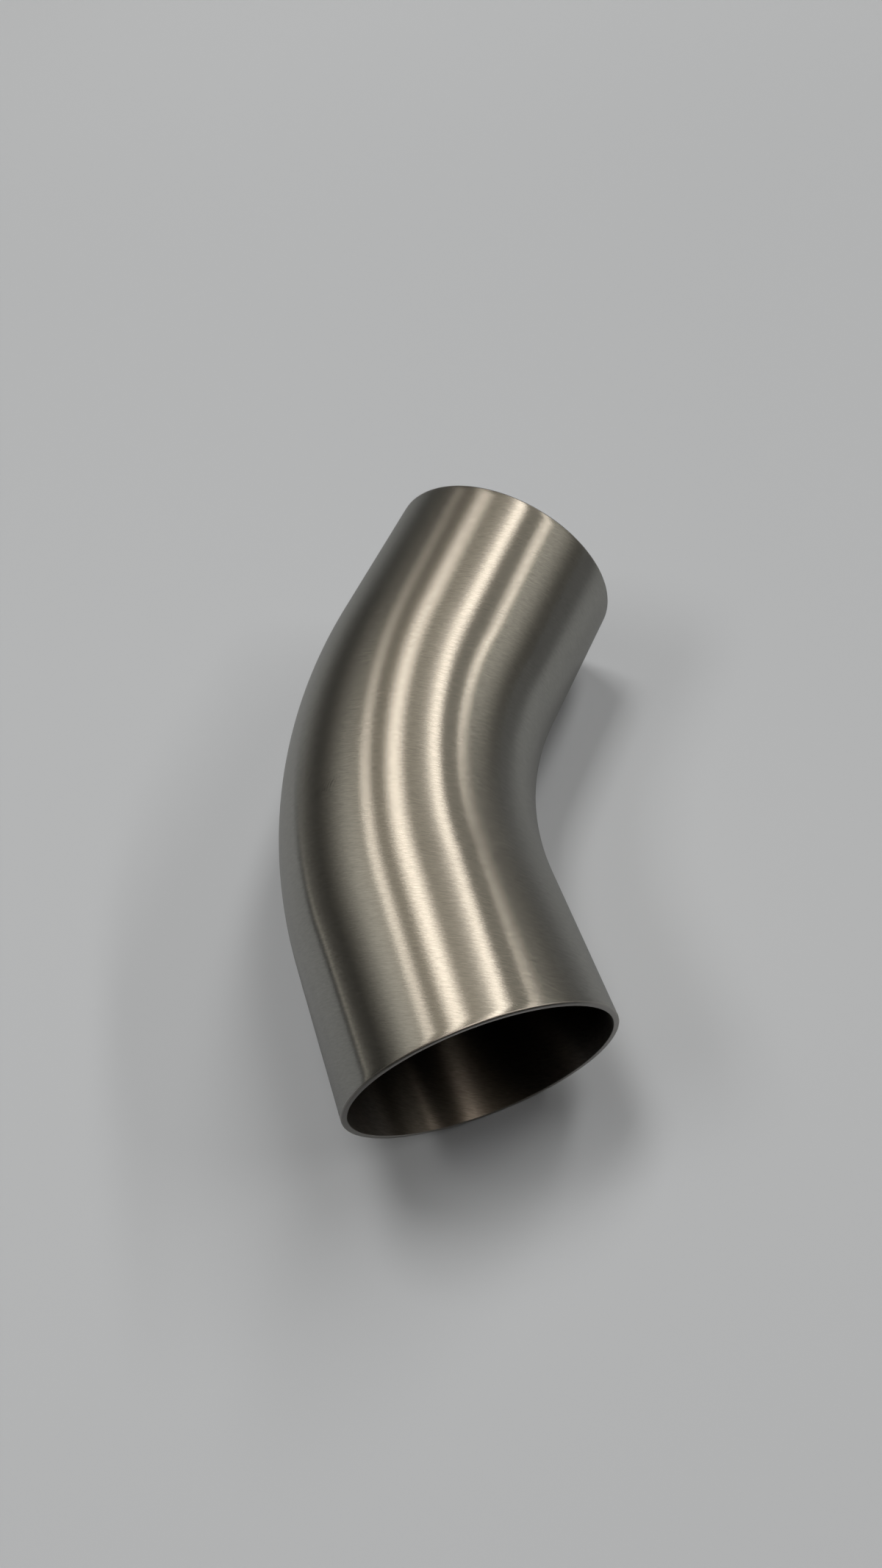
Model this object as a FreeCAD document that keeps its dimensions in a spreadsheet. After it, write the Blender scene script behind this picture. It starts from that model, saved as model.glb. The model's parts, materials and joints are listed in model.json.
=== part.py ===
"""Forty-five degree butt-weld bend in thin stainless tube, with a straight tangent at each end.

Millimetres, +Z up. The bend lies on its side as it comes to rest: the plane of its centreline is
level, the outside of the curve faces -X, and the two open ends point to -Y and +Y. The origin is
below the middle of the bounding box, on the surface that the tube lies on.
"""
import FreeCAD, Part
import math
import os

import Sketcher

PART_NAME = "pipe_bend"

# Driving dimensions: alias, value, meaning. Lengths in millimetres, the angle in degrees.
# The tangent puts the end face of the tube 92.08 mm (3 5/8 in) from the corner where the two
# straight centrelines would meet, and the bend radius is one and a half tube diameters.
SIZES = (
    ("tube_diameter", 76.2, "outside diameter of the tube"),
    ("tube_wall", 1.651, "wall thickness, the same all round"),
    ("bend_radius", 114.3, "radius of the centreline in the bend"),
    ("bend_angle", 45.0, "turn between the two straight ends"),
    ("tangent_length", 44.73, "straight tube beyond each end of the bend"),
    ("outer_edge_radius", 0.5, "rounding where the end face meets the outside"),
    ("inner_edge_chamfer", 0.15, "deburring chamfer where the end face meets the bore"),
)

# Expressions that more than one feature uses
TUBE_RADIUS = "(sizes.tube_diameter / 2)"
BORE_RADIUS = "(sizes.tube_diameter / 2 - sizes.tube_wall)"
HALF_ANGLE = "(sizes.bend_angle * 1 deg / 2)"

LENGTH_TOLERANCE = 1e-6
VOLUME_TOLERANCE = 1e-6


def make_sheet(doc):
    """The sheet of driving dimensions, one row for each, with its alias on the value's cell."""
    sheet = doc.addObject("Spreadsheet::Sheet", "sizes")
    for row, (alias, value, meaning) in enumerate(SIZES, start=1):
        sheet.set(f"A{row}", alias)
        sheet.set(f"B{row}", str(value))
        sheet.set(f"C{row}", meaning)
        sheet.setAlias(f"B{row}", alias)
    doc.recompute()
    return sheet


def origin_plane(body, role):
    """One of the body's own origin planes."""
    return next(plane for plane in body.Origin.OriginFeatures if plane.Role == role)


def add_sketch(body, name, role):
    """An empty sketch on one of the body's origin planes."""
    sketch = body.newObject("Sketcher::SketchObject", name)
    sketch.AttachmentSupport = [(origin_plane(body, role), "")]
    sketch.MapMode = "FlatFace"
    return sketch


def constrain(sketch, name, constraint, expression):
    """Adds a named dimension to a sketch and binds it to the sheet."""
    index = sketch.addConstraint(constraint)
    sketch.renameConstraint(index, name)
    sketch.setExpression(f"Constraints.{name}", expression)


def draw_section(body, sheet):
    """The tube's section: two circles about the centreline, on the plane across the near end."""
    section = add_sketch(body, "tube_section", "XZ_Plane")
    centre = FreeCAD.Vector(0, 0, 0)
    normal = FreeCAD.Vector(0, 0, 1)
    outer_radius = sheet.tube_diameter / 2
    outer = section.addGeometry(Part.Circle(centre, normal, outer_radius))
    inner = section.addGeometry(Part.Circle(centre, normal, outer_radius - sheet.tube_wall))
    for circle in (outer, inner):
        section.addConstraint(Sketcher.Constraint("Coincident", circle, 3, -1, 1))
    constrain(
        section,
        "outer_radius",
        Sketcher.Constraint("Radius", outer, outer_radius),
        TUBE_RADIUS,
    )
    constrain(
        section,
        "bore_radius",
        Sketcher.Constraint("Radius", inner, outer_radius - sheet.tube_wall),
        BORE_RADIUS,
    )
    return section


def draw_centreline(body, sheet):
    """The centreline: a straight run, an arc and an equal straight run, each tangent to the next.

    It starts at the centre of the near end and runs along +Y, and the arc turns it towards +X.
    """
    path = add_sketch(body, "centreline", "XY_Plane")
    straight = sheet.tangent_length
    radius = sheet.bend_radius
    turn = math.radians(sheet.bend_angle)
    bend_start = FreeCAD.Vector(0, straight, 0)
    curve_centre = FreeCAD.Vector(radius, straight, 0)
    outward = FreeCAD.Vector(-math.cos(turn), math.sin(turn), 0)
    along = FreeCAD.Vector(math.sin(turn), math.cos(turn), 0)
    bend_end = curve_centre + outward * radius
    circle = Part.Circle(curve_centre, FreeCAD.Vector(0, 0, 1), radius)
    near = path.addGeometry(Part.LineSegment(FreeCAD.Vector(0, 0, 0), bend_start))
    arc = path.addGeometry(Part.ArcOfCircle(circle, math.pi - turn, math.pi))
    far = path.addGeometry(Part.LineSegment(bend_end, bend_end + along * straight))
    path.addConstraint(Sketcher.Constraint("Coincident", near, 1, -1, 1))
    path.addConstraint(Sketcher.Constraint("Vertical", near))
    path.addConstraint(Sketcher.Constraint("Tangent", near, 2, arc, 2))
    path.addConstraint(Sketcher.Constraint("Tangent", arc, 1, far, 1))
    path.addConstraint(Sketcher.Constraint("Equal", near, far))
    constrain(
        path,
        "tangent_length",
        Sketcher.Constraint("Distance", near, straight),
        "sizes.tangent_length",
    )
    constrain(
        path,
        "bend_radius",
        Sketcher.Constraint("Radius", arc, radius),
        "sizes.bend_radius",
    )
    constrain(
        path,
        "bend_angle",
        Sketcher.Constraint("Angle", arc, turn),
        "sizes.bend_angle * 1 deg",
    )
    return path


def sweep_tube(body, section, path):
    """The wall of the tube, swept along the whole centreline in one pass."""
    tube = body.newObject("PartDesign::AdditivePipe", "tube")
    tube.Profile = section
    tube.Spine = (path, ["Edge1", "Edge2", "Edge3"])
    return tube


def end_edges(shape, wall_radius):
    """Names of the circles where the flat end faces meet the wall of the given radius."""
    flat_faces = [face for face in shape.Faces if isinstance(face.Surface, Part.Plane)]
    names = []
    for number, edge in enumerate(shape.Edges, start=1):
        is_circle = isinstance(edge.Curve, Part.Circle)
        if not is_circle or abs(edge.Curve.Radius - wall_radius) > LENGTH_TOLERANCE:
            continue
        if any(edge.isSame(other) for face in flat_faces for other in face.Edges):
            names.append(f"Edge{number}")
    return names


def round_outer_edges(body, base, wall_radius):
    """Rounds the edge where each end face meets the outside of the tube."""
    rounding = body.newObject("PartDesign::Fillet", "outer_end_edges")
    rounding.Base = (base, end_edges(base.Shape, wall_radius))
    rounding.setExpression("Radius", "sizes.outer_edge_radius")
    return rounding


def deburr_inner_edges(body, base, wall_radius):
    """Takes the sharp edge off each mouth of the bore with a fine chamfer."""
    chamfer = body.newObject("PartDesign::Chamfer", "inner_end_edges")
    chamfer.Base = (base, end_edges(base.Shape, wall_radius))
    chamfer.setExpression("Size", "sizes.inner_edge_chamfer")
    return chamfer


def place_on_table(body):
    """Turns the bend square to the axes and centres its bounding box above the origin.

    Across, the box runs from the outside of the curve to the inner corner of the end faces. The
    near end's centre is beyond its middle by half of what the straight end, the curve and the
    rounded corner add up to.
    """
    straight_part = f"sizes.tangent_length * sin({HALF_ANGLE})"
    curved_part = f"(sizes.bend_radius + {TUBE_RADIUS}) * (1 - cos({HALF_ANGLE}))"
    edge_part = f"sizes.outer_edge_radius * (sin({HALF_ANGLE}) + cos({HALF_ANGLE}) - 1)"
    curved_reach = f"sizes.bend_radius * sin({HALF_ANGLE})"
    straight_reach = f"sizes.tangent_length * cos({HALF_ANGLE})"
    body.setExpression("Placement.Base.x", f"({straight_part} + {curved_part} + {edge_part}) / 2")
    body.setExpression("Placement.Base.y", f"-({curved_reach} + {straight_reach})")
    body.setExpression("Placement.Base.z", TUBE_RADIUS)
    body.setExpression("Placement.Rotation.Angle", HALF_ANGLE)


def check_volume(tube, sheet):
    """The swept wall holds its section's area times the length of its centreline."""
    outer_radius = sheet.tube_diameter / 2
    area = math.pi * (outer_radius**2 - (outer_radius - sheet.tube_wall) ** 2)
    length = 2 * sheet.tangent_length + sheet.bend_radius * math.radians(sheet.bend_angle)
    expected = area * length
    if abs(tube.Shape.Volume - expected) > VOLUME_TOLERANCE * expected:
        raise RuntimeError(f"tube volume {tube.Shape.Volume:.1f}, expected {expected:.1f}")


def check_document(doc, body):
    """Stops if any object failed, or the finished piece isn't one sound solid."""
    for thing in doc.Objects:
        if {"Invalid", "Error"} & set(thing.State):
            raise RuntimeError(f"{thing.Name} failed: {thing.State}")
    shape = body.Shape
    if shape.isNull() or not shape.isValid() or len(shape.Solids) != 1:
        raise RuntimeError(f"{body.Label} isn't one valid solid")


def make_pipe_bend(doc, sheet):
    """The whole fitting: one piece of tube, swept, with its end edges softened."""
    body = doc.addObject("PartDesign::Body", PART_NAME)
    body.Label = PART_NAME
    section = draw_section(body, sheet)
    path = draw_centreline(body, sheet)
    tube = sweep_tube(body, section, path)
    doc.recompute()
    check_volume(tube, sheet)
    outer_radius = sheet.tube_diameter / 2
    rounded = round_outer_edges(body, tube, outer_radius)
    doc.recompute()
    deburr_inner_edges(body, rounded, outer_radius - sheet.tube_wall)
    place_on_table(body)
    doc.recompute()
    return body


def main():
    doc = FreeCAD.newDocument("pipe_bend_document")
    sheet = make_sheet(doc)
    body = make_pipe_bend(doc, sheet)
    check_document(doc, body)
    os.makedirs("parts", exist_ok=True)
    body.Shape.exportStep(os.path.join("parts", f"{body.Label}.step"))
    box = body.Shape.optimalBoundingBox(False, False)
    print(f"{body.Label}: {body.Shape.Volume:.1f} mm3, box {box}")


main()
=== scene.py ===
"""Looks of a forty-five degree bend in thin brushed stainless tube, lying on its side on a table.

Metres, +Z up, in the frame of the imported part: the plane of the bend is level, the outside of the
curve faces -X and the two open ends face -Y (the near one) and +Y (the far one).
"""
import json
import math

import bmesh
import bpy
from bpy.props import FloatProperty, FloatVectorProperty, IntProperty, PointerProperty
from mathutils import Euler, Matrix, Vector


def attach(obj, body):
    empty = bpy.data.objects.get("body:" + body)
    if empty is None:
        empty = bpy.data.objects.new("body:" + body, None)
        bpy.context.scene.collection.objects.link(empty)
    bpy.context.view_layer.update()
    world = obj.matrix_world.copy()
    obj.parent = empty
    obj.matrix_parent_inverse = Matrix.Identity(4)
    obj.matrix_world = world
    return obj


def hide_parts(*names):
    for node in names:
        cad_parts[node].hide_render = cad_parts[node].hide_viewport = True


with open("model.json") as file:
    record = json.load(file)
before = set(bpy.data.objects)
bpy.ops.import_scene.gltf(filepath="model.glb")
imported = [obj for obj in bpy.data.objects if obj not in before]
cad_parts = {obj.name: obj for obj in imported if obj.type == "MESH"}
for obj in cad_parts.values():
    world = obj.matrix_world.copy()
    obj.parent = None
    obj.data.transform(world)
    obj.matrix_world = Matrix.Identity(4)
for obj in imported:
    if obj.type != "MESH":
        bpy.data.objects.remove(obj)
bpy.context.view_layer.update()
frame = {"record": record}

bl_info = {
    "name": "Stainless Pipe Bend",
    "version": (1, 0, 0),
    "blender": (4, 5, 0),
    "location": "3D View > Sidebar > Pipe Bend",
    "description": "Models a brushed stainless pipe bend and the table and lamps it is seen with",
    "category": "Mesh",
}

BODY = "root"
CAD_NODE = "pipe_bend"
TUBE_PIECE = "pipe_bend_tube"

UP = Vector((0, 0, 1))
MILLIMETRE = 0.001
FULL_TURN = 2 * math.pi

# The part's own interfaces give the tube's size and where its two ends are.
MOUNTS = {mount["name"]: mount for mount in frame["record"]["mounts"]}
TUBE_RADIUS = MOUNTS["near_outside"]["dims"]["r_mm"] * MILLIMETRE
CLAMPED_LENGTH = MOUNTS["near_outside"]["dims"]["length_mm"] * MILLIMETRE
OUTER_EDGE = 0.5 * MILLIMETRE
TANGENT_LENGTH = CLAMPED_LENGTH + OUTER_EDGE


def end_face(name):
    """Centre and outward direction of one open end, from the mount on its weld face."""
    x, y, _ = MOUNTS[name]["pos_m"]
    return Vector((x, y, TUBE_RADIUS)), Vector(MOUNTS[name]["axis"]).normalized()


NEAR_CENTRE, NEAR_OUT = end_face("near_weld_face")
FAR_CENTRE, FAR_OUT = end_face("far_weld_face")
BEND_ANGLE = math.pi - NEAR_OUT.angle(FAR_OUT)
CENTRE_TO_END = (FAR_CENTRE - NEAR_CENTRE).length / 2 / math.cos(BEND_ANGLE / 2)
BEND_RADIUS = (CENTRE_TO_END - TANGENT_LENGTH) / math.tan(BEND_ANGLE / 2)

# The belt that brushed the bend ran in planes square to this, near the line between the two ends.
BRUSH_TURN = math.radians(3.5)
BRUSH_RUN = Vector((math.sin(BRUSH_TURN), math.cos(BRUSH_TURN), 0))
BRUSH_MAP = "brush_map"
OUTSIDE, BORE, RIM = range(3)

# Bending left the section a little out of round. It shows only in how the surface leans round the
# tube, outside and in the bore: so many degrees times the sine of one, two and three times the
# angle. The first row holds in the middle of the bend and fades over this part of the tube's
# length, and the second is added from there to each end.
MIDDLE_LEAN = (0.86, 2.17, -1.28)
LEAN_ALONG = (-1.39, 1.31, -1.97)
LEAN_REACH = 0.28
LEAN_MAP = "section_lean"

# The patterns that make up the brushing. Each has its pitch and its length as so many of the finest
# line's, how fine its detail goes, and how far it is moved so that no two lie alike.
BRUSH_PATTERNS = {
    "fine": (1.0, 1.0, 2.0, 0.0),
    "coarse": (3.0, 1.6, 2.0, 0.05),
    "groove": (1.0, 0.5, 1.0, 0.09),
    "ripple": (1.3, 0.3, 1.0, 0.13),
}
# How much of the fine lines' tone the coarse ones have, how much the grooves change the roughness,
# and how much the surface tilts from place to place along a brush line.
COARSE_TONE = 0.5
GROOVE_ROUGHNESS = 0.04
ROUND_TILT = 0.045

# How each brushed wall is finished: how rough it is, how much the lines change its tone and tilt
# its surface, and which way round the section's lean counts there.
OUTSIDE_BRUSHING = {"roughness": 0.26, "tone": 0.5, "tilt": 0.05, "leaning": 1.0}
BORE_BRUSHING = {"roughness": 0.36, "tone": 1.0, "tilt": 0.08, "leaning": -1.0}

# A small rub mark on the outside of the bend: its middle, how far round the bend and round the
# tube it is, in degrees, its size, how far apart its strokes are and how much they darken.
RUB_PLACE = Vector((-0.02576, -0.01701, 0.0729))
RUB_TURN = 7.53
RUB_ANGLE = 114.0
RUB_LENGTH = 11.5 * MILLIMETRE
RUB_WIDTH = 4.8 * MILLIMETRE
RUB_PITCH = 1.1 * MILLIMETRE
RUB_DEPTH = 0.36
# How much the row of strokes and each stroke slant, and how far and how often the strokes wander.
RUB_ROW_SLANT = 0.28
RUB_STROKE_SLANT = 0.45
RUB_WANDER = 1.5 * RUB_PITCH
RUB_WANDER_GRAIN = 2.5 * MILLIMETRE
RUB_WANDER_SHIFT = 0.04
# Where the mark's outline, a stroke and a gap in a stroke start and end, how dark a gap still is,
# the gaps' pitch and length, and how far below its middle the mark stops.
RUB_OUTLINE = (0.35, 1.05)
RUB_STROKE = (-0.4, 0.9)
RUB_GAP = (-0.14, 0.16)
RUB_GAP_TONE = 0.1
RUB_GAP_GRAIN = (0.7 * MILLIMETRE, 1.4 * MILLIMETRE)
RUB_LOWEST = (-20 * MILLIMETRE, -10 * MILLIMETRE)

# Painted shade in the bore: its colour reflects less and less this far in from its mouths, down to
# this much deep inside.
BORE_SHADE_FADE = 13 * MILLIMETRE
BORE_DEEP_SHADE = 0.06

# The cut rims carry painted shade towards their lowest point, up to this height: the table's shadow
# that they mirror is painted into their colour. Their metal is a little uneven in tone and
# roughness, from place to place.
RIM_PAINTED_SHADE = 0.75
RIM_PAINTED_SHADE_TOP = 30 * MILLIMETRE
RIM_GRAIN = 1.5 * MILLIMETRE
RIM_GRAIN_DETAIL = 3.0
RIM_GRAIN_TONE = 0.2
RIM_ROUGHNESS = 0.36
RIM_GRAIN_ROUGHNESS = 0.15

# Points this close are joined, points this close to where they belong are right, and faces that
# meet at less than this angle are shaded as one.
JOINED = 0.001 * MILLIMETRE
SLACK = 0.01 * MILLIMETRE
SMOOTH_ANGLE = math.radians(40)
# Rows of faces in the two softened edges, and steps in which the brush lines' slant is added up.
OUTER_EDGE_STEPS = 4
INNER_EDGE_STEPS = 1
SLANT_STEPS = 512


class BendSizes(bpy.types.PropertyGroup):
    """Sizes of the tube, and how finely it is divided."""

    tube_diameter: FloatProperty(
        name="Tube diameter",
        description="Outside diameter of the tube",
        default=2 * TUBE_RADIUS,
        unit="LENGTH",
        precision=5,
    )
    tube_wall: FloatProperty(
        name="Wall",
        description="Thickness of the tube's wall",
        default=1.651 * MILLIMETRE,
        unit="LENGTH",
        precision=6,
    )
    bend_radius: FloatProperty(
        name="Bend radius",
        description="Radius of the centreline in the bend",
        default=BEND_RADIUS,
        unit="LENGTH",
        precision=5,
    )
    bend_angle: FloatProperty(
        name="Bend angle",
        description="Turn between the two straight ends",
        default=BEND_ANGLE,
        subtype="ANGLE",
    )
    tangent_length: FloatProperty(
        name="Tangent length",
        description="Straight tube beyond each end of the bend",
        default=TANGENT_LENGTH,
        unit="LENGTH",
        precision=5,
    )
    outer_edge: FloatProperty(
        name="Outer edge",
        description="Rounding where the end face meets the outside",
        default=OUTER_EDGE,
        unit="LENGTH",
        precision=6,
    )
    inner_edge: FloatProperty(
        name="Inner edge",
        description="Deburred chamfer where the end face meets the bore",
        default=0.15 * MILLIMETRE,
        unit="LENGTH",
        precision=6,
    )
    round_steps: IntProperty(
        name="Steps round",
        description="Faces round the tube",
        default=192,
        min=24,
    )
    bend_steps: IntProperty(
        name="Steps in the bend",
        description="Rows of faces along the bend",
        default=72,
        min=8,
    )
    straight_steps: IntProperty(
        name="Steps in a tangent",
        description="Rows of faces along each straight end",
        default=24,
        min=2,
    )


class SteelFinish(bpy.types.PropertyGroup):
    """Colours and brushing of the steel."""

    colour: FloatVectorProperty(
        name="Steel",
        description="Colour that the steel reflects, seen head on",
        default=(0.557, 0.55, 0.509),
        subtype="COLOR",
        min=0,
        max=1,
    )
    # Darker than the outside's steel colour: painted shade in the bore.
    shaded_bore_colour: FloatVectorProperty(
        name="Bore",
        description="Colour that the wall of the bore reflects",
        default=(0.3, 0.273, 0.24),
        subtype="COLOR",
        min=0,
        max=1,
    )
    rim_colour: FloatVectorProperty(
        name="Cut rim",
        description="Colour that the faced end of the wall reflects",
        default=(0.6, 0.58, 0.55),
        subtype="COLOR",
        min=0,
        max=1,
    )
    line_pitch: FloatProperty(
        name="Line pitch",
        description="Distance between the finest brush lines, along the tube",
        default=0.14 * MILLIMETRE,
        unit="LENGTH",
        precision=6,
    )
    line_length: FloatProperty(
        name="Line length",
        description="Length of a brush line, round the tube",
        default=2 * MILLIMETRE,
        unit="LENGTH",
        precision=5,
    )


class StageSettings(bpy.types.PropertyGroup):
    """The table, the lamps and the camera."""

    table_colour: FloatVectorProperty(
        name="Table",
        description="Colour of the table's plain top",
        default=(0.45, 0.45, 0.45),
        subtype="COLOR",
        min=0,
        max=1,
    )
    lamp_brightness: FloatProperty(
        name="Lamp brightness",
        description="How bright the face of a lamp with a full share looks in the steel",
        default=4.1,
        min=0,
    )
    lamp_halo: FloatProperty(
        name="Halo",
        description="How bright the ceiling round a lamp looks, beside the lamp itself",
        default=0.067,
        min=0,
        max=1,
    )
    table_light: FloatProperty(
        name="Table light",
        description="How much light all the lamps together send to the table",
        default=1.0,
        min=0,
    )
    lens: FloatProperty(
        name="Lens",
        description="Focal length on a sensor 36 mm along the picture's long side",
        default=24.207,
        unit="CAMERA",
    )


class Tube:
    """The tube's centreline and section in numbers, worked out from its sizes."""

    def __init__(self, sizes):
        self.radius = sizes.tube_diameter / 2
        self.wall = sizes.tube_wall
        self.bend_radius = sizes.bend_radius
        self.turn = sizes.bend_angle
        self.straight = sizes.tangent_length
        self.length = 2 * self.straight + self.bend_radius * self.turn
        self.near_centre = NEAR_CENTRE.copy()
        self.near_along = -NEAR_OUT
        self.towards_curve = UP.cross(NEAR_OUT)
        bend_start = self.near_centre + self.near_along * self.straight
        self.curve_centre = bend_start + self.towards_curve * self.bend_radius
        turned = Matrix.Rotation(-self.turn, 3, "Z")
        self.far_along = turned @ self.near_along
        self.far_towards_curve = turned @ self.towards_curve
        bend_end = self.curve_centre - self.far_towards_curve * self.bend_radius
        self.far_centre = bend_end + self.far_along * self.straight

    def unrolled(self, point):
        """Length along the centreline, distance from it, angle round it from the curve's inside."""
        before = self.near_along.dot(point - self.near_centre)
        beyond = self.far_along.dot(point - self.far_centre)
        if before < self.straight:
            along = before
            inward = self.towards_curve.dot(point - self.near_centre)
        elif beyond > -self.straight:
            along = self.length + beyond
            inward = self.far_towards_curve.dot(point - self.far_centre)
        else:
            spoke = (self.curve_centre - point).to_2d()
            start = self.towards_curve.to_2d()
            along = self.straight + self.bend_radius * abs(start.angle(spoke))
            inward = self.bend_radius - spoke.length
        height = point.z - self.near_centre.z
        return along, math.hypot(inward, height), math.atan2(height, inward)

    def turned(self, along):
        """How much of the bend is done at a length along the centreline, from 0 to 1."""
        return min(max((along - self.straight) / (self.length - 2 * self.straight), 0), 1)

    def inwards(self, along):
        """Level direction from the centreline towards the curve's inside, at a length along it."""
        return Matrix.Rotation(-self.turn * self.turned(along), 3, "Z") @ self.towards_curve


def deselect_all():
    bpy.ops.object.select_all(action="DESELECT")


def work_on(piece):
    """Makes the piece the only selected and the active object."""
    deselect_all()
    piece.select_set(True)
    bpy.context.view_layer.objects.active = piece


def apply_modifier(piece, kind, **settings):
    """Adds a modifier with its settings and applies it."""
    modifier = piece.modifiers.new(kind.lower(), kind)
    for name, value in settings.items():
        setattr(modifier, name, value)
    bpy.ops.object.modifier_apply(modifier=modifier.name)


def select_edges(mesh, wanted):
    """In edit mode, selects only the edges for which wanted is true."""
    bpy.ops.mesh.select_mode(type="EDGE")
    bpy.ops.mesh.select_all(action="DESELECT")
    shape = bmesh.from_edit_mesh(mesh)
    for edge in shape.edges:
        if wanted(edge):
            edge.select_set(True)
    shape.select_flush_mode()
    bmesh.update_edit_mesh(mesh)


def extrude_straight(direction, length, rows):
    """Extrudes the selected ring in a straight line, in rows of faces of equal length."""
    step = {"value": direction * (length / rows)}
    for _ in range(rows):
        bpy.ops.mesh.extrude_region_move(TRANSFORM_OT_translate=step)


def draw_first_ring(tube, sizes):
    """A ring of edges at the near end, square to the tube."""
    deselect_all()
    upright = Matrix((tube.towards_curve, UP, tube.towards_curve.cross(UP))).transposed()
    bpy.ops.mesh.primitive_circle_add(
        vertices=sizes.round_steps,
        radius=tube.radius,
        fill_type="NOTHING",
        location=tube.near_centre,
        rotation=upright.to_euler(),
    )
    piece = bpy.context.active_object
    piece.name = piece.data.name = TUBE_PIECE
    work_on(piece)
    bpy.ops.object.transform_apply(location=True, rotation=True, scale=True)
    return piece


def extrude_outside(piece, tube, sizes):
    """Draws the outside of the tube from its first ring: straight, spun in the bend, straight."""
    bpy.ops.object.mode_set(mode="EDIT")
    bpy.ops.mesh.select_all(action="SELECT")
    extrude_straight(tube.near_along, tube.straight, sizes.straight_steps)
    bpy.ops.mesh.spin(
        steps=sizes.bend_steps,
        angle=tube.turn,
        center=tube.curve_centre,
        axis=UP,
    )
    extrude_straight(tube.far_along, tube.straight, sizes.straight_steps)
    bpy.ops.mesh.select_all(action="SELECT")
    bpy.ops.mesh.remove_doubles(threshold=JOINED)
    bpy.ops.mesh.normals_make_consistent(inside=False)
    bpy.ops.object.mode_set(mode="OBJECT")
    top_face = max(piece.data.polygons, key=lambda face: face.center.z)
    if top_face.normal.z < 0:
        bpy.ops.object.mode_set(mode="EDIT")
        bpy.ops.mesh.select_all(action="SELECT")
        bpy.ops.mesh.flip_normals()
        bpy.ops.object.mode_set(mode="OBJECT")
    last_ring = max(piece.data.vertices, key=lambda vertex: tube.far_along.dot(vertex.co))
    if abs(tube.far_along.dot(last_ring.co - tube.far_centre)) > SLACK:
        raise RuntimeError("the far end of the tube isn't where its sizes put it")


def give_wall(piece, tube):
    """Thickens the outside inwards to the tube's wall. The bore and rims get their own finishes."""
    for _ in (OUTSIDE, BORE, RIM):
        piece.data.materials.append(None)
    apply_modifier(
        piece,
        "SOLIDIFY",
        thickness=tube.wall,
        offset=-1,
        use_even_offset=True,
        use_rim=True,
        material_offset=BORE - OUTSIDE,
        material_offset_rim=RIM - OUTSIDE,
    )


def soften_end_edges(piece, tube, wall_radius, width, segments):
    """Bevels the two circles where the end faces meet the wall of the given radius."""

    def on_an_end(vertex):
        along, distance, _ = tube.unrolled(vertex.co)
        at_end = min(abs(along), abs(along - tube.length)) < SLACK
        return at_end and abs(distance - wall_radius) < SLACK

    bpy.ops.object.mode_set(mode="EDIT")
    select_edges(piece.data, lambda edge: all(map(on_an_end, edge.verts)))
    bpy.ops.mesh.bevel(offset=width, segments=segments, profile=0.5, material=RIM)
    bpy.ops.object.mode_set(mode="OBJECT")


def brush_slants(tube):
    """How far a brush line has slid round by each of many equal steps along the tube.

    The belt ran square to BRUSH_RUN and not to the tube, so where the tube heads off to one side
    the lines cross it at a slant.
    """
    step = tube.length / SLANT_STEPS
    heading = math.atan2(BRUSH_RUN.x, BRUSH_RUN.y)
    slid = [0.0]
    for number in range(SLANT_STEPS):
        slant = heading + tube.turn * (0.5 - tube.turned((number + 0.5) * step))
        slid.append(slid[-1] + math.tan(slant) * step / tube.radius)
    middle = slid[SLANT_STEPS // 2]
    return [value - middle for value in slid]


def map_brushing(piece, tube):
    """Gives the mesh its brush map: U grows square to the brush lines, V is the same that way."""
    mesh = piece.data
    slid = brush_slants(tube)
    places = []
    for vertex in mesh.vertices:
        along, _, angle = tube.unrolled(vertex.co)
        spot = min(max(along / tube.length, 0), 1) * (len(slid) - 1)
        start = min(int(spot), len(slid) - 2)
        slide = slid[start] + (spot - start) * (slid[start + 1] - slid[start])
        half = math.atan2(math.sin(angle / 2) * math.exp(slide), math.cos(angle / 2))
        places.append((BRUSH_RUN.dot(vertex.co) / tube.length, half / math.pi))
    layer = mesh.uv_layers.new(name=BRUSH_MAP)
    for face in mesh.polygons:
        corners = [places[mesh.loops[loop].vertex_index] for loop in face.loop_indices]
        rounds = [value for _, value in corners]
        crosses_seam = max(rounds) - min(rounds) > 0.5
        for loop, (across, value) in zip(face.loop_indices, corners):
            layer.data[loop].uv = (across, value + 1 if crosses_seam and value < 0 else value)


def map_section_lean(piece, tube):
    """Stores how far the surface leans at each point, as the vector that it adds to the normal."""
    layer = piece.data.attributes.new(LEAN_MAP, "FLOAT_VECTOR", "POINT")
    for vertex, value in zip(piece.data.vertices, layer.data):
        along, _, angle = tube.unrolled(vertex.co)
        place = along / tube.length - 0.5
        middle = math.exp(-((place / LEAN_REACH) ** 2))
        lean = sum(
            (here * middle + change * place) * math.sin((turns + 1) * angle)
            for turns, (here, change) in enumerate(zip(MIDDLE_LEAN, LEAN_ALONG))
        )
        round_tube = UP * math.cos(angle) - tube.inwards(along) * math.sin(angle)
        value.vector = round_tube * math.tan(math.radians(lean))


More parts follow.
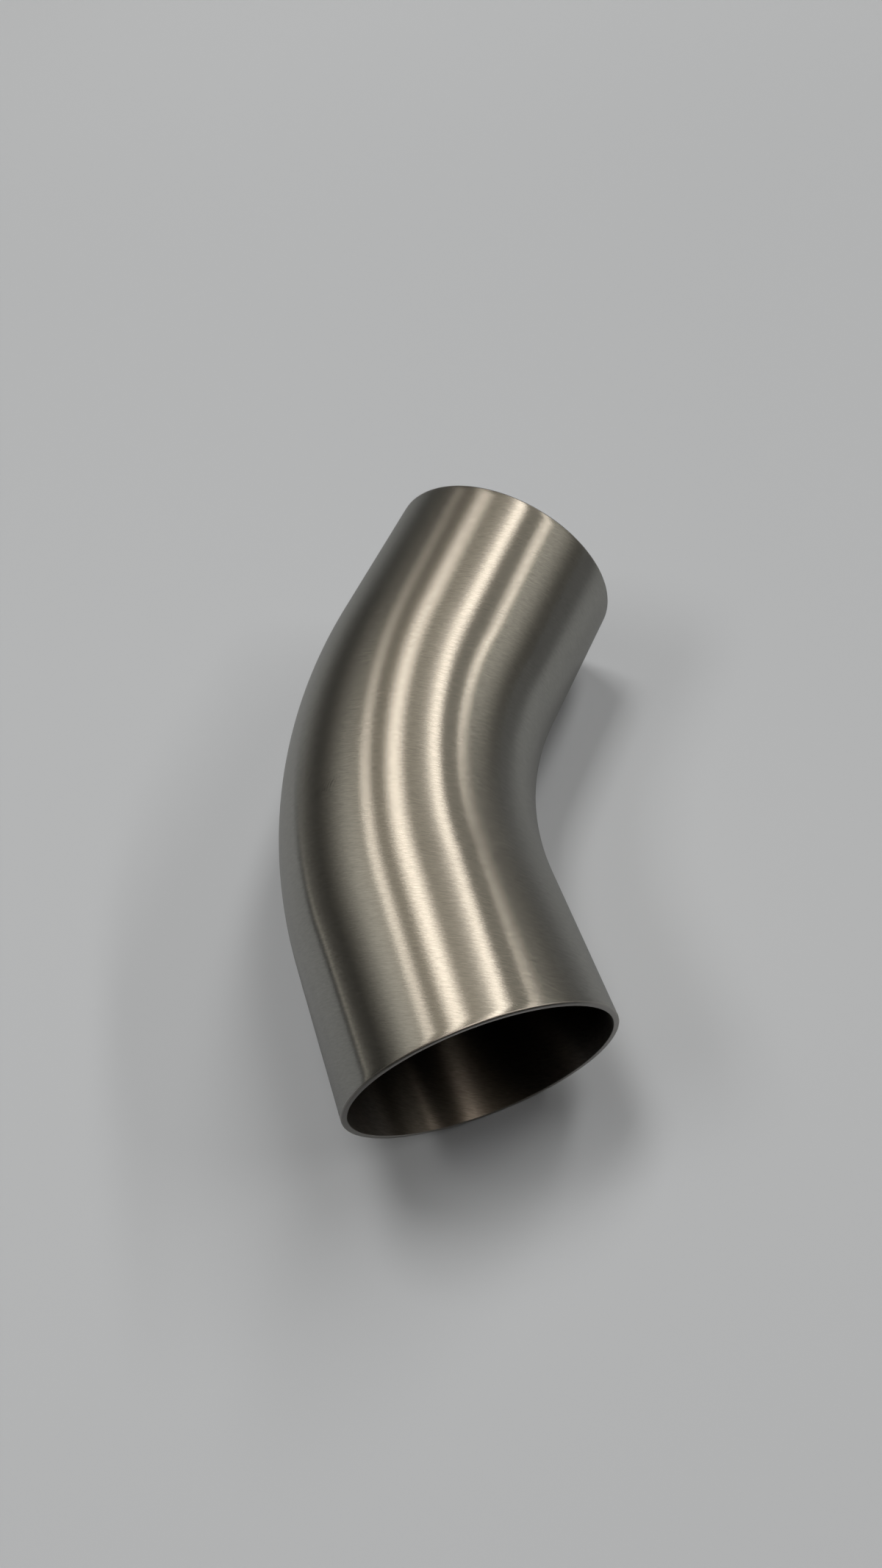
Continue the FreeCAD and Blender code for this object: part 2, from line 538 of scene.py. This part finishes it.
class NodeTree:
    """The nodes of a material or of the world, with short calls to add and join them."""

    def __init__(self, owner):
        owner.use_nodes = True
        self.owner = owner
        self.tree = owner.node_tree

    @property
    def place(self):
        """Where each point of the mesh is, in metres."""
        return self.add("ShaderNodeTexCoord").outputs["Object"]

    @property
    def normal(self):
        return self.add("ShaderNodeNewGeometry").outputs["Normal"]

    def add(self, kind, **settings):
        node = self.tree.nodes.new(kind)
        for name, value in settings.items():
            setattr(node, name, value)
        return node

    def feed(self, socket, value):
        """Links the socket to another one, or sets it to a plain value."""
        if isinstance(value, bpy.types.NodeSocket):
            self.tree.links.new(value, socket)
        else:
            socket.default_value = value

    def feed_shader(self, values):
        """Links or sets the main shader's sockets by their names."""
        shader = self.tree.nodes["Principled BSDF"]
        for name, value in values.items():
            self.feed(shader.inputs[name], value)

    def maths(self, operation, *values):
        node = self.add("ShaderNodeMath", operation=operation)
        for socket, value in zip(node.inputs, values):
            self.feed(socket, value)
        return node.outputs[0]

    def product(self, first, *others):
        """All the numbers multiplied together."""
        for value in others:
            first = self.maths("MULTIPLY", first, value)
        return first

    def vector(self, operation, *values):
        node = self.add("ShaderNodeVectorMath", operation=operation)
        for socket, value in zip(node.inputs, values):
            self.feed(socket, value)
        gives_number = operation in ("DOT_PRODUCT", "LENGTH")
        return node.outputs["Value" if gives_number else "Vector"]

    def scaled(self, vector, factor):
        """A vector times one number."""
        node = self.add("ShaderNodeVectorMath", operation="SCALE")
        self.feed(node.inputs[0], vector)
        self.feed(node.inputs["Scale"], factor)
        return node.outputs["Vector"]

    def split(self, vector):
        """The X, Y and Z of a vector."""
        node = self.add("ShaderNodeSeparateXYZ")
        self.feed(node.inputs[0], vector)
        return node.outputs

    def mapped(self, vector, origin, turn, units):
        """The vector as seen from an origin, turned about Z, in units of its own for X, Y and Z."""
        node = self.add("ShaderNodeMapping", vector_type="TEXTURE")
        self.feed(node.inputs["Vector"], vector)
        self.feed(node.inputs["Location"], origin)
        self.feed(node.inputs["Rotation"], (0, 0, turn))
        self.feed(node.inputs["Scale"], units)
        return node.outputs["Vector"]

    def steps(self, value, start, end, low, high):
        """A smooth step from low to high as the value goes from start to end."""
        node = self.add("ShaderNodeMapRange", interpolation_type="SMOOTHSTEP")
        for socket, number in zip(node.inputs, (value, start, end, low, high)):
            self.feed(socket, number)
        return node.outputs[0]

    def brush_lines(self, pitch, length, detail, shift=0.0):
        """Noise about zero, drawn out into lines of that pitch and length, as the belt ran."""
        units = (length, pitch, length)
        node = self.add("ShaderNodeTexNoise")
        self.feed(node.inputs["Vector"], self.mapped(self.place, (shift,) * 3, -BRUSH_TURN, units))
        self.feed(node.inputs["Scale"], 1.0)
        self.feed(node.inputs["Detail"], detail)
        return self.maths("SUBTRACT", node.outputs["Fac"], 0.5)

    def coordinate(self, origin, direction):
        """How far a point of the mesh is from the origin in one direction."""
        return self.vector("DOT_PRODUCT", self.vector("SUBTRACT", self.place, origin), direction)

    def fill_ramp(self, value, tones):
        """A smooth run of grey tones, each at its own value."""
        low, high = tones[0][0], tones[-1][0]
        ramp = self.add("ShaderNodeValToRGB")
        share = self.maths("DIVIDE", self.maths("SUBTRACT", value, low), high - low)
        self.feed(ramp.inputs[0], share)
        stops = ramp.color_ramp.elements
        for here, _ in tones[1:-1]:
            stops.new((here - low) / (high - low))
        for stop, (_, tone) in zip(stops, tones):
            stop.color = (tone, tone, tone, 1)
        return ramp.outputs[0]

    def mixed(self, factor, first, second):
        """The first colour where the factor is 0, the second where it is 1."""
        mix = self.add("ShaderNodeMix", data_type="RGBA")
        colour_inputs = [socket for socket in mix.inputs if socket.type == "RGBA"]
        self.feed(mix.inputs["Factor"], factor)
        self.feed(colour_inputs[0], first)
        self.feed(colour_inputs[1], second)
        return next(socket for socket in mix.outputs if socket.type == "RGBA")

    def tinted(self, colour, factor):
        """A colour made lighter or darker by one number about 1."""
        return self.scaled(Vector(colour), factor)


def rub_mark(nodes):
    """How the small rub mark on the outside darkens the steel: a slanting row of dark strokes."""
    turn = Matrix.Rotation(math.radians(RUB_TURN), 3, "Z")
    inward, along = turn.col[0], turn.col[1]
    angle = math.radians(RUB_ANGLE)
    down = UP * math.cos(angle) - inward * math.sin(angle)
    round_tube = nodes.coordinate(RUB_PLACE, down)
    along_tube = nodes.coordinate(RUB_PLACE, along)
    from_row = nodes.maths("MULTIPLY_ADD", round_tube, RUB_ROW_SLANT, along_tube)
    off = nodes.add("ShaderNodeCombineXYZ")
    nodes.feed(off.inputs[0], nodes.maths("DIVIDE", round_tube, RUB_LENGTH / 2))
    nodes.feed(off.inputs[1], nodes.maths("DIVIDE", from_row, RUB_WIDTH / 2))
    inside = nodes.steps(nodes.vector("LENGTH", off.outputs[0]), *RUB_OUTLINE, 1.0, 0.0)
    on_top = nodes.steps(nodes.coordinate(RUB_PLACE, UP), *RUB_LOWEST, 0.0, 1.0)
    wander = nodes.brush_lines(RUB_WANDER_GRAIN, RUB_WANDER_GRAIN, 0.0, RUB_WANDER_SHIFT)
    phase = nodes.maths("MULTIPLY_ADD", from_row, RUB_STROKE_SLANT, round_tube)
    phase = nodes.maths("MULTIPLY_ADD", wander, RUB_WANDER, phase)
    wave = nodes.maths("SINE", nodes.product(phase, FULL_TURN / RUB_PITCH))
    strokes = nodes.steps(wave, *RUB_STROKE, 0.0, 1.0)
    broken = nodes.steps(nodes.brush_lines(*RUB_GAP_GRAIN, 1.0), *RUB_GAP, RUB_GAP_TONE, 1.0)
    marked = nodes.product(inside, on_top, strokes, broken)
    return nodes.maths("MULTIPLY_ADD", marked, -RUB_DEPTH, 1.0)


def painted_shade_inside(nodes):
    """Painted shade: how much less the bore reflects further in from either end."""
    ends = ((NEAR_CENTRE, NEAR_OUT), (FAR_CENTRE, FAR_OUT))
    depth = nodes.maths("MINIMUM", *(nodes.coordinate(centre, -out) for centre, out in ends))
    near = nodes.maths("EXPONENT", nodes.maths("DIVIDE", depth, -BORE_SHADE_FADE))
    return nodes.maths("MULTIPLY_ADD", near, 1.0 - BORE_DEEP_SHADE, BORE_DEEP_SHADE)


def brushed_steel(name, colour, finish, shade, roughness, tone, tilt, leaning):
    """Brushed steel: lamps draw out across the brush lines, and the lines show as fine streaks."""
    nodes = NodeTree(bpy.data.materials.new(name))
    fine, coarse, groove, ripple = (
        nodes.brush_lines(finish.line_pitch * pitch, finish.line_length * length, detail, shift)
        for pitch, length, detail, shift in BRUSH_PATTERNS.values()
    )
    streaks = nodes.maths("MULTIPLY_ADD", fine, tone, 1.0)
    streaks = nodes.maths("MULTIPLY_ADD", coarse, tone * COARSE_TONE, streaks)
    across = nodes.add("ShaderNodeTangent", direction_type="UV_MAP", uv_map=BRUSH_MAP).outputs[0]
    along_lines = nodes.vector("CROSS_PRODUCT", nodes.normal, across)
    lean = nodes.add("ShaderNodeAttribute", attribute_name=LEAN_MAP).outputs["Vector"]
    tilted = nodes.normal
    for way, much in ((across, (groove, tilt)), (along_lines, (ripple, ROUND_TILT))):
        tilted = nodes.vector("ADD", tilted, nodes.scaled(way, nodes.product(*much)))
    tilted = nodes.vector("ADD", tilted, nodes.scaled(lean, leaning))
    nodes.feed_shader(
        {
            # shade is the rub mark's wear on the outside, and painted shade in the bore.
            "Base Color": nodes.tinted(colour, nodes.product(streaks, shade(nodes))),
            "Metallic": 1.0,
            "Roughness": nodes.maths("MULTIPLY_ADD", groove, GROOVE_ROUGHNESS, roughness),
            "Anisotropic": 1.0,
            "Tangent": across,
            "Normal": nodes.vector("NORMALIZE", tilted),
        }
    )
    return nodes.owner


def cut_steel(name, colour):
    """The faced end of the wall: plain cut metal, a little uneven, darker towards its bottom by
    painted shade.
    """
    nodes = NodeTree(bpy.data.materials.new(name))
    uneven = nodes.brush_lines(RIM_GRAIN, RIM_GRAIN, RIM_GRAIN_DETAIL)
    tone = nodes.maths("MULTIPLY_ADD", uneven, RIM_GRAIN_TONE, 1.0)
    # Painted shade: the colour darkens towards the bottom, for the table's shadow that the rim
    # mirrors.
    height = nodes.split(nodes.place)["Z"]
    shaded = nodes.steps(height, 0.0, RIM_PAINTED_SHADE_TOP, RIM_PAINTED_SHADE, 1.0)
    nodes.feed_shader(
        {
            "Base Color": nodes.tinted(colour, nodes.product(tone, shaded)),
            "Metallic": 1.0,
            "Roughness": nodes.maths("MULTIPLY_ADD", uneven, RIM_GRAIN_ROUGHNESS, RIM_ROUGHNESS),
        }
    )
    return nodes.owner


class PIPEBEND_OT_model_tube(bpy.types.Operator):
    """Model the whole bend as one piece of tube, with its wall and softened end edges"""

    bl_idname = "pipe_bend.model_tube"
    bl_label = "Model the Tube"

    def execute(self, context):
        sizes = context.scene.bend_sizes
        tube = Tube(sizes)
        piece = draw_first_ring(tube, sizes)
        extrude_outside(piece, tube, sizes)
        give_wall(piece, tube)
        soften_end_edges(piece, tube, tube.radius, sizes.outer_edge, OUTER_EDGE_STEPS)
        soften_end_edges(piece, tube, tube.radius - tube.wall, sizes.inner_edge, INNER_EDGE_STEPS)
        work_on(piece)
        bpy.ops.object.shade_smooth_by_angle(angle=SMOOTH_ANGLE)
        map_brushing(piece, tube)
        map_section_lean(piece, tube)
        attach(piece, BODY)
        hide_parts(CAD_NODE)
        return {"FINISHED"}


class PIPEBEND_OT_finish_steel(bpy.types.Operator):
    """Give the outside, the bore and the cut rims of the tube their finishes"""

    bl_idname = "pipe_bend.finish_steel"
    bl_label = "Finish the Steel"

    def execute(self, context):
        finish = context.scene.steel_finish
        slots = bpy.data.objects[TUBE_PIECE].data.materials
        slots[OUTSIDE] = brushed_steel(
            "steel_brushed_outside", finish.colour, finish, rub_mark, **OUTSIDE_BRUSHING
        )
        # The bore: a darker colour and a fade deeper in, both painted shade.
        slots[BORE] = brushed_steel(
            "steel_brushed_bore", finish.shaded_bore_colour, finish, painted_shade_inside, **BORE_BRUSHING
        )
        slots[RIM] = cut_steel("steel_cut_rim", finish.rim_colour)
        return {"FINISHED"}


# The lamps as the steel mirrors them, long soft panels under the ceiling. Metres from the middle
# of the tube: where the middle of each is, half its length, half its width; then the turn of its
# length from +Y towards +X in degrees and how bright it looks.
LAMPS = {
    "far_right": ((2.458, 0.908), 1.028, 0.102, -11.9, 0.98),
    "right": ((0.802, 0.482), 2.094, 0.178, 14.2, 0.5),
    "over": ((-0.258, 0.786), 0.336, 0.2, 23.9, 1.0),
    "left": ((-1.15, 0.694), 0.3, 0.17, -1.0, 0.66),
    "behind": ((0.24, -1.67), 0.54, 0.07, -19.5, 0.6),
}
# The lamps as they light the table, each with its part of that light.
TABLE_LAMPS = {
    "far_right": ((2.458, 0.908), 1.028, 0.102, -11.9, 0.14),
    "right_near": ((0.545, -0.533), 1.047, 0.178, 14.2, 0.045),
    "right_far": ((1.059, 1.497), 1.047, 0.178, 14.2, 0.26),
    "over": ((-0.258, 0.786), 0.336, 0.2, 23.9, 0.375),
    "left": ((-1.4, -0.1), 0.4, 0.3, 0.0, 0.155),
}
TUBE_MIDDLE = (-0.0114, 0.0)
LAMP_RISE = 2.0
LAMP_EDGE = 0.13
LAMP_COLOUR = (1.12, 1.0, 0.89)
TABLE_LIGHT_COLOUR = (0.985, 1.0, 1.01)
# The halo round a lamp is this many times as wide as the lamp. A direction that rises less than
# the second number is taken to rise that much.
HALO_WIDTH = 3.0
HALO_LOWEST = 0.05
HALO_COLOUR = (1.16, 1.0, 0.79)

CAMERA_PLACE = (0.05844, -0.15528, 0.30861)
CAMERA_TURN = (30.3392, 10.6769, 3.3163)
SENSOR_SIZE = 36

# The table's half width, and how far from the near mouth it goes over into the backdrop.
TABLE_REACH = 2.2
TABLE_FADE = (0.5, 1.7)
TABLE_ROUGHNESS = 0.7
TABLE_SPECULAR = 0.2
# Painted light on the table: its colour is a little lighter near by and at the left, from one place
# on +Y or +X to another, from one tone to the other.
TABLE_PAINTED_LIGHT_ALONG = (-0.4, 0.45, 1.1, 0.88)
TABLE_PAINTED_LIGHT_ACROSS = (-0.4, 0.4, 1.06, 0.94)

# Painted shade in the steel's reflection of the table: how bright the table looks in the steel, by
# bearing from +Y towards +X, in degrees, as seen from the near mouth.
MOUTH_PLACE = (0.02, -0.1, 0.0)
MIRRORED_TABLE_SHADE = (
    (-180, 0.03),
    (-120, 0.3),
    (-100, 0.465),
    (-84, 0.49),
    (-60, 0.58),
    (-36, 0.6),
    (-5, 0.48),
    (25, 0.48),
    (45, 0.54),
    (85, 0.5),
    (105, 0.15),
    (130, 0.05),
    (180, 0.03),
)
# Right before the mouth it looks at least this bright, out to these distances. To the right of the
# tube its painted shade deepens, from one place on +X to another, from one tone to the other. At
# the left it is painted dark beyond one place on +X, this softly, and only until these places on
# +Y.
CLOSE_TABLE = 0.7
CLOSE_BY = (0.025, 0.05)
RIGHT_TABLE = (0.1, 0.22, 1.0, 0.35)
LEFT_GAP = -0.6
LEFT_GAP_EDGE = 0.05
LEFT_GAP_END = (0.3, 0.7)

# How bright the room is, by the sine of the angle above the level.
ROOM_TONES = (
    (0.0, 0.165),
    (0.139, 0.078),
    (0.309, 0.058),
    (0.53, 0.185),
    (0.766, 0.195),
    (1.0, 0.142),
)
# Soft patches of light and shade in the room: bearing from +Y towards +X and height in degrees,
# how wide, how much light is added.
ROOM_PATCHES = (
    (-79, 45.5, 0.017, 0.52),
    (78, 25, 0.041, 0.68),
    (32, 17, 0.309, -0.909),
    (34, 21, 0.205, 0.955),
    (-86, 47, 0.05, 0.15),
    (-62, 48, 0.02, 0.14),
    (24, 70, 0.03, 0.22),
    (112, 0, 0.03, -0.13),
)
# The room is dim behind the camera: from one part of +Y in the direction to another, from one
# factor to the other.
DIM_BEHIND = (-0.45, 0.1, 0.05, 1.0)
# A bright strip lies just beyond the table's edge at the left: between which parts of +X, +Y and +Z
# in the direction it ends, and how bright it is.
STRIP_LEFT = (-0.8, -0.5)
STRIP_END = (0.05, 0.3)
STRIP_TOP = (0.006, 0.018)
STRIP_LIGHT = 0.34
ROOM_COLOUR = (1.06, 1.0, 0.89)
AMBIENT_COLOUR = (0.0095, 0.009, 0.009)
BACKDROP_COLOUR = (0.44, 0.445, 0.445)


def mirrored_table_shade(nodes, x, y, from_mouth, distance):
    """Painted shade: how bright the table looks where the steel mirrors it, below its own colour.
    """
    across, along, _ = nodes.split(from_mouth)
    bearing = nodes.product(nodes.maths("ARCTAN2", across, along), math.degrees(1))
    close = nodes.steps(distance, *CLOSE_BY, CLOSE_TABLE, 0.0)
    looks = nodes.maths("MAXIMUM", nodes.fill_ramp(bearing, MIRRORED_TABLE_SHADE), close)
    in_gap = nodes.product(
        nodes.steps(x, LEFT_GAP - LEFT_GAP_EDGE, LEFT_GAP + LEFT_GAP_EDGE, 1.0, 0.0),
        nodes.steps(y, *LEFT_GAP_END, 1.0, 0.0),
    )
    out_of_gap = nodes.maths("SUBTRACT", 1.0, in_gap)
    return nodes.product(looks, nodes.steps(x, *RIGHT_TABLE), out_of_gap)


def lay_table(settings):
    """A pale table top that goes over into the backdrop. Its colour holds painted light near by and
    at the left, and painted shade where steel mirrors it.
    """
    deselect_all()
    bpy.ops.mesh.primitive_plane_add(size=2 * TABLE_REACH)
    table = bpy.context.active_object
    table.name = table.data.name = "table_top"
    nodes = NodeTree(bpy.data.materials.new("table_paint"))
    x, y, _ = nodes.split(nodes.place)
    from_mouth = nodes.vector("SUBTRACT", nodes.place, MOUTH_PLACE)
    distance = nodes.vector("LENGTH", from_mouth)
    # Painted light: the table's colour is lighter near by and at the left.
    painted = nodes.product(
        nodes.steps(y, *TABLE_PAINTED_LIGHT_ALONG),
        nodes.steps(x, *TABLE_PAINTED_LIGHT_ACROSS),
    )
    rays = nodes.add("ShaderNodeLightPath").outputs
    # Glossy rays see the table with painted shade, so that the steel mirrors it darker.
    shade_in_reflections = nodes.maths("SUBTRACT", mirrored_table_shade(nodes, x, y, from_mouth, distance), painted)
    tone = nodes.maths("MULTIPLY_ADD", rays["Is Glossy Ray"], shade_in_reflections, painted)
    far_off = nodes.product(nodes.steps(distance, *TABLE_FADE, 0.0, 1.0), rays["Is Camera Ray"])
    tone = nodes.product(tone, nodes.maths("SUBTRACT", 1.0, far_off))
    nodes.feed_shader(
        {
            "Base Color": nodes.tinted(settings.table_colour, tone),
            "Roughness": TABLE_ROUGHNESS,
            "Specular IOR Level": TABLE_SPECULAR,
            "Emission Color": (*BACKDROP_COLOUR, 1),
            "Emission Strength": far_off,
        }
    )
    table.data.materials.append(nodes.owner)


def lamp_place(across, along, turn):
    """Where a lamp hangs, its length turned from +Y towards +X."""
    place = Vector((TUBE_MIDDLE[0] + across, TUBE_MIDDLE[1] + along, TUBE_RADIUS + LAMP_RISE))
    return Matrix.Translation(place) @ Matrix.Rotation(-math.radians(turn), 4, "Z")


def hang_panel(name, settings):
    """What the steel mirrors of a lamp: a panel that fades out at its edges into the room."""
    middle, half_length, half_width, turn, share = LAMPS[name]
    deselect_all()
    bpy.ops.mesh.primitive_plane_add(size=2)
    card = bpy.context.active_object
    card.name = card.data.name = f"lamp_panel_{name}"
    card.data.transform(Matrix.Diagonal((half_width + LAMP_EDGE, half_length + LAMP_EDGE, 1, 1)))
    card.matrix_world = lamp_place(*middle, turn)
    nodes = NodeTree(bpy.data.materials.new(f"lamp_glow_{name}"))
    nodes.tree.nodes.remove(nodes.tree.nodes["Principled BSDF"])
    from_middle = nodes.split(nodes.vector("ABSOLUTE", nodes.place))
    face = [
        nodes.steps(off, half - LAMP_EDGE, half + LAMP_EDGE, 1.0, 0.0)
        for off, half in zip(from_middle, (half_width, half_length))
    ]
    emission = nodes.add("ShaderNodeEmission")
    nodes.feed(emission.inputs["Color"], (*LAMP_COLOUR, 1))
    brightness = settings.lamp_brightness * share
    nodes.feed(emission.inputs["Strength"], nodes.product(*face, brightness))
    both = nodes.add("ShaderNodeAddShader")
    nodes.feed(both.inputs[0], emission.outputs[0])
    nodes.feed(both.inputs[1], nodes.add("ShaderNodeBsdfTransparent").outputs[0])
    nodes.feed(nodes.tree.nodes["Material Output"].inputs["Surface"], both.outputs[0])
    card.data.materials.append(nodes.owner)
    for rays in ("camera", "diffuse", "transmission", "shadow", "volume_scatter"):
        setattr(card, f"visible_{rays}", False)


def hang_table_lamp(name, settings):
    """One lamp's light on the table, as strong as its part says where the tube stands."""
    middle, half_length, half_width, turn, part = TABLE_LAMPS[name]
    lamp = bpy.data.lights.new(f"lamp_{name}", "AREA")
    lamp.shape = "RECTANGLE"
    lamp.size = 2 * half_width + LAMP_EDGE
    lamp.size_y = 2 * half_length + LAMP_EDGE
    lamp.color = TABLE_LIGHT_COLOUR
    slope = Vector((*middle, LAMP_RISE)).normalized().z
    lamp.energy = part * settings.table_light * (math.pi * LAMP_RISE) ** 2 / slope**4
    thing = bpy.data.objects.new(lamp.name, lamp)
    thing.matrix_world = lamp_place(*middle, turn)
    thing.visible_camera = False
    thing.visible_glossy = False
    bpy.context.scene.collection.objects.link(thing)


def bearing_and_height(bearing, height):
    """The direction that a bearing from +Y towards +X and a height give, both in degrees."""
    bearing, height = math.radians(bearing), math.radians(height)
    level = math.cos(height)
    return Vector((math.sin(bearing) * level, math.cos(bearing) * level, math.sin(height)))


def room_tone(nodes, way):
    """How bright the room without its lamps is in each direction."""
    x, y, z = nodes.split(way)
    tone = nodes.fill_ramp(z, ROOM_TONES)
    for bearing, height, width, light in ROOM_PATCHES:
        towards = nodes.vector("DOT_PRODUCT", way, bearing_and_height(bearing, height))
        falloff = nodes.maths("DIVIDE", nodes.maths("SUBTRACT", towards, 1.0), width)
        tone = nodes.maths("MULTIPLY_ADD", nodes.maths("EXPONENT", falloff), light, tone)
    tone = nodes.product(tone, nodes.steps(y, *DIM_BEHIND))
    strip = nodes.product(
        nodes.steps(x, *STRIP_LEFT, STRIP_LIGHT, 0.0),
        nodes.steps(y, *STRIP_END, 1.0, 0.0),
        nodes.steps(z, *STRIP_TOP, 1.0, 0.0),
    )
    return nodes.maths("MAXIMUM", nodes.maths("ADD", tone, strip), 0.0)


def lamp_halos(nodes, way, settings):
    """How bright the ceiling round the lamps is in each direction."""
    rise = nodes.maths("MAXIMUM", nodes.split(way)["Z"], HALO_LOWEST)
    on_ceiling = nodes.scaled(way, nodes.maths("DIVIDE", LAMP_RISE, rise))
    brightness = settings.lamp_halo * settings.lamp_brightness
    glow = 0.0
    for (across, along), half_length, half_width, turn, share in LAMPS.values():
        middle = (across, along, LAMP_RISE)
        reach = (HALO_WIDTH * half_width, half_length + 2 * half_width, 1)
        off = nodes.mapped(on_ceiling, middle, -math.radians(turn), reach)
        spread = nodes.maths("POWER", nodes.vector("LENGTH", off), 2.0)
        halo = nodes.maths("EXPONENT", nodes.product(spread, -0.5))
        glow = nodes.maths("MULTIPLY_ADD", halo, brightness * share, glow)
    return glow


def light_room(settings):
    """Plain warm light from above with softly lit and dark patches, and a plain pale backdrop."""
    world = bpy.data.worlds.new("room_light")
    bpy.context.scene.world = world
    nodes = NodeTree(world)
    way = nodes.add("ShaderNodeTexCoord").outputs["Generated"]
    room = nodes.tinted(ROOM_COLOUR, room_tone(nodes, way))
    room = nodes.vector("ADD", room, nodes.tinted(HALO_COLOUR, lamp_halos(nodes, way, settings)))
    rays = nodes.add("ShaderNodeLightPath").outputs
    room = nodes.mixed(rays["Is Diffuse Ray"], room, (*AMBIENT_COLOUR, 1))
    seen = nodes.maths("MAXIMUM", rays["Is Camera Ray"], rays["Is Transmission Ray"])
    room = nodes.mixed(seen, room, (*BACKDROP_COLOUR, 1))
    nodes.feed(nodes.tree.nodes["Background"].inputs["Color"], room)


def set_camera(settings):
    """The camera, looking down on the bend from beyond the near end."""
    lens = bpy.data.cameras.new("camera")
    lens.sensor_width = SENSOR_SIZE
    lens.lens = settings.lens
    camera = bpy.data.objects.new("camera", lens)
    camera.location = CAMERA_PLACE
    camera.rotation_euler = Euler(map(math.radians, CAMERA_TURN))
    bpy.context.scene.collection.objects.link(camera)
    bpy.context.scene.camera = camera


class PIPEBEND_OT_set_stage(bpy.types.Operator):
    """Lay the table, hang the lamps and set the camera"""

    bl_idname = "pipe_bend.set_stage"
    bl_label = "Set the Stage"

    def execute(self, context):
        settings = context.scene.stage_settings
        lay_table(settings)
        for name in LAMPS:
            hang_panel(name, settings)
        for name in TABLE_LAMPS:
            hang_table_lamp(name, settings)
        light_room(settings)
        set_camera(settings)
        context.scene.view_settings.view_transform = "Standard"
        return {"FINISHED"}


class PIPEBEND_PT_panel(bpy.types.Panel):
    """Lists the steps and sizes of the pipe bend"""

    bl_idname = "PIPEBEND_PT_panel"
    bl_label = "Pipe Bend"
    bl_space_type = "VIEW_3D"
    bl_region_type = "UI"
    bl_category = "Pipe Bend"

    def draw(self, context):
        scene = context.scene
        for settings in (scene.bend_sizes, scene.steel_finish, scene.stage_settings):
            box = self.layout.box()
            for name in settings.__annotations__:
                box.prop(settings, name)
        for step in STEPS:
            self.layout.operator(step.bl_idname)


STEPS = (PIPEBEND_OT_model_tube, PIPEBEND_OT_finish_steel, PIPEBEND_OT_set_stage)
CLASSES = (BendSizes, SteelFinish, StageSettings, *STEPS, PIPEBEND_PT_panel)


def register():
    for item in CLASSES:
        bpy.utils.register_class(item)
    bpy.types.Scene.bend_sizes = PointerProperty(type=BendSizes)
    bpy.types.Scene.steel_finish = PointerProperty(type=SteelFinish)
    bpy.types.Scene.stage_settings = PointerProperty(type=StageSettings)


def unregister():
    del bpy.types.Scene.stage_settings
    del bpy.types.Scene.steel_finish
    del bpy.types.Scene.bend_sizes
    for item in reversed(CLASSES):
        bpy.utils.unregister_class(item)


def main():
    register()
    bpy.ops.pipe_bend.model_tube()
    bpy.ops.pipe_bend.finish_steel()
    bpy.ops.pipe_bend.set_stage()


if __name__ == "__main__":
    main()
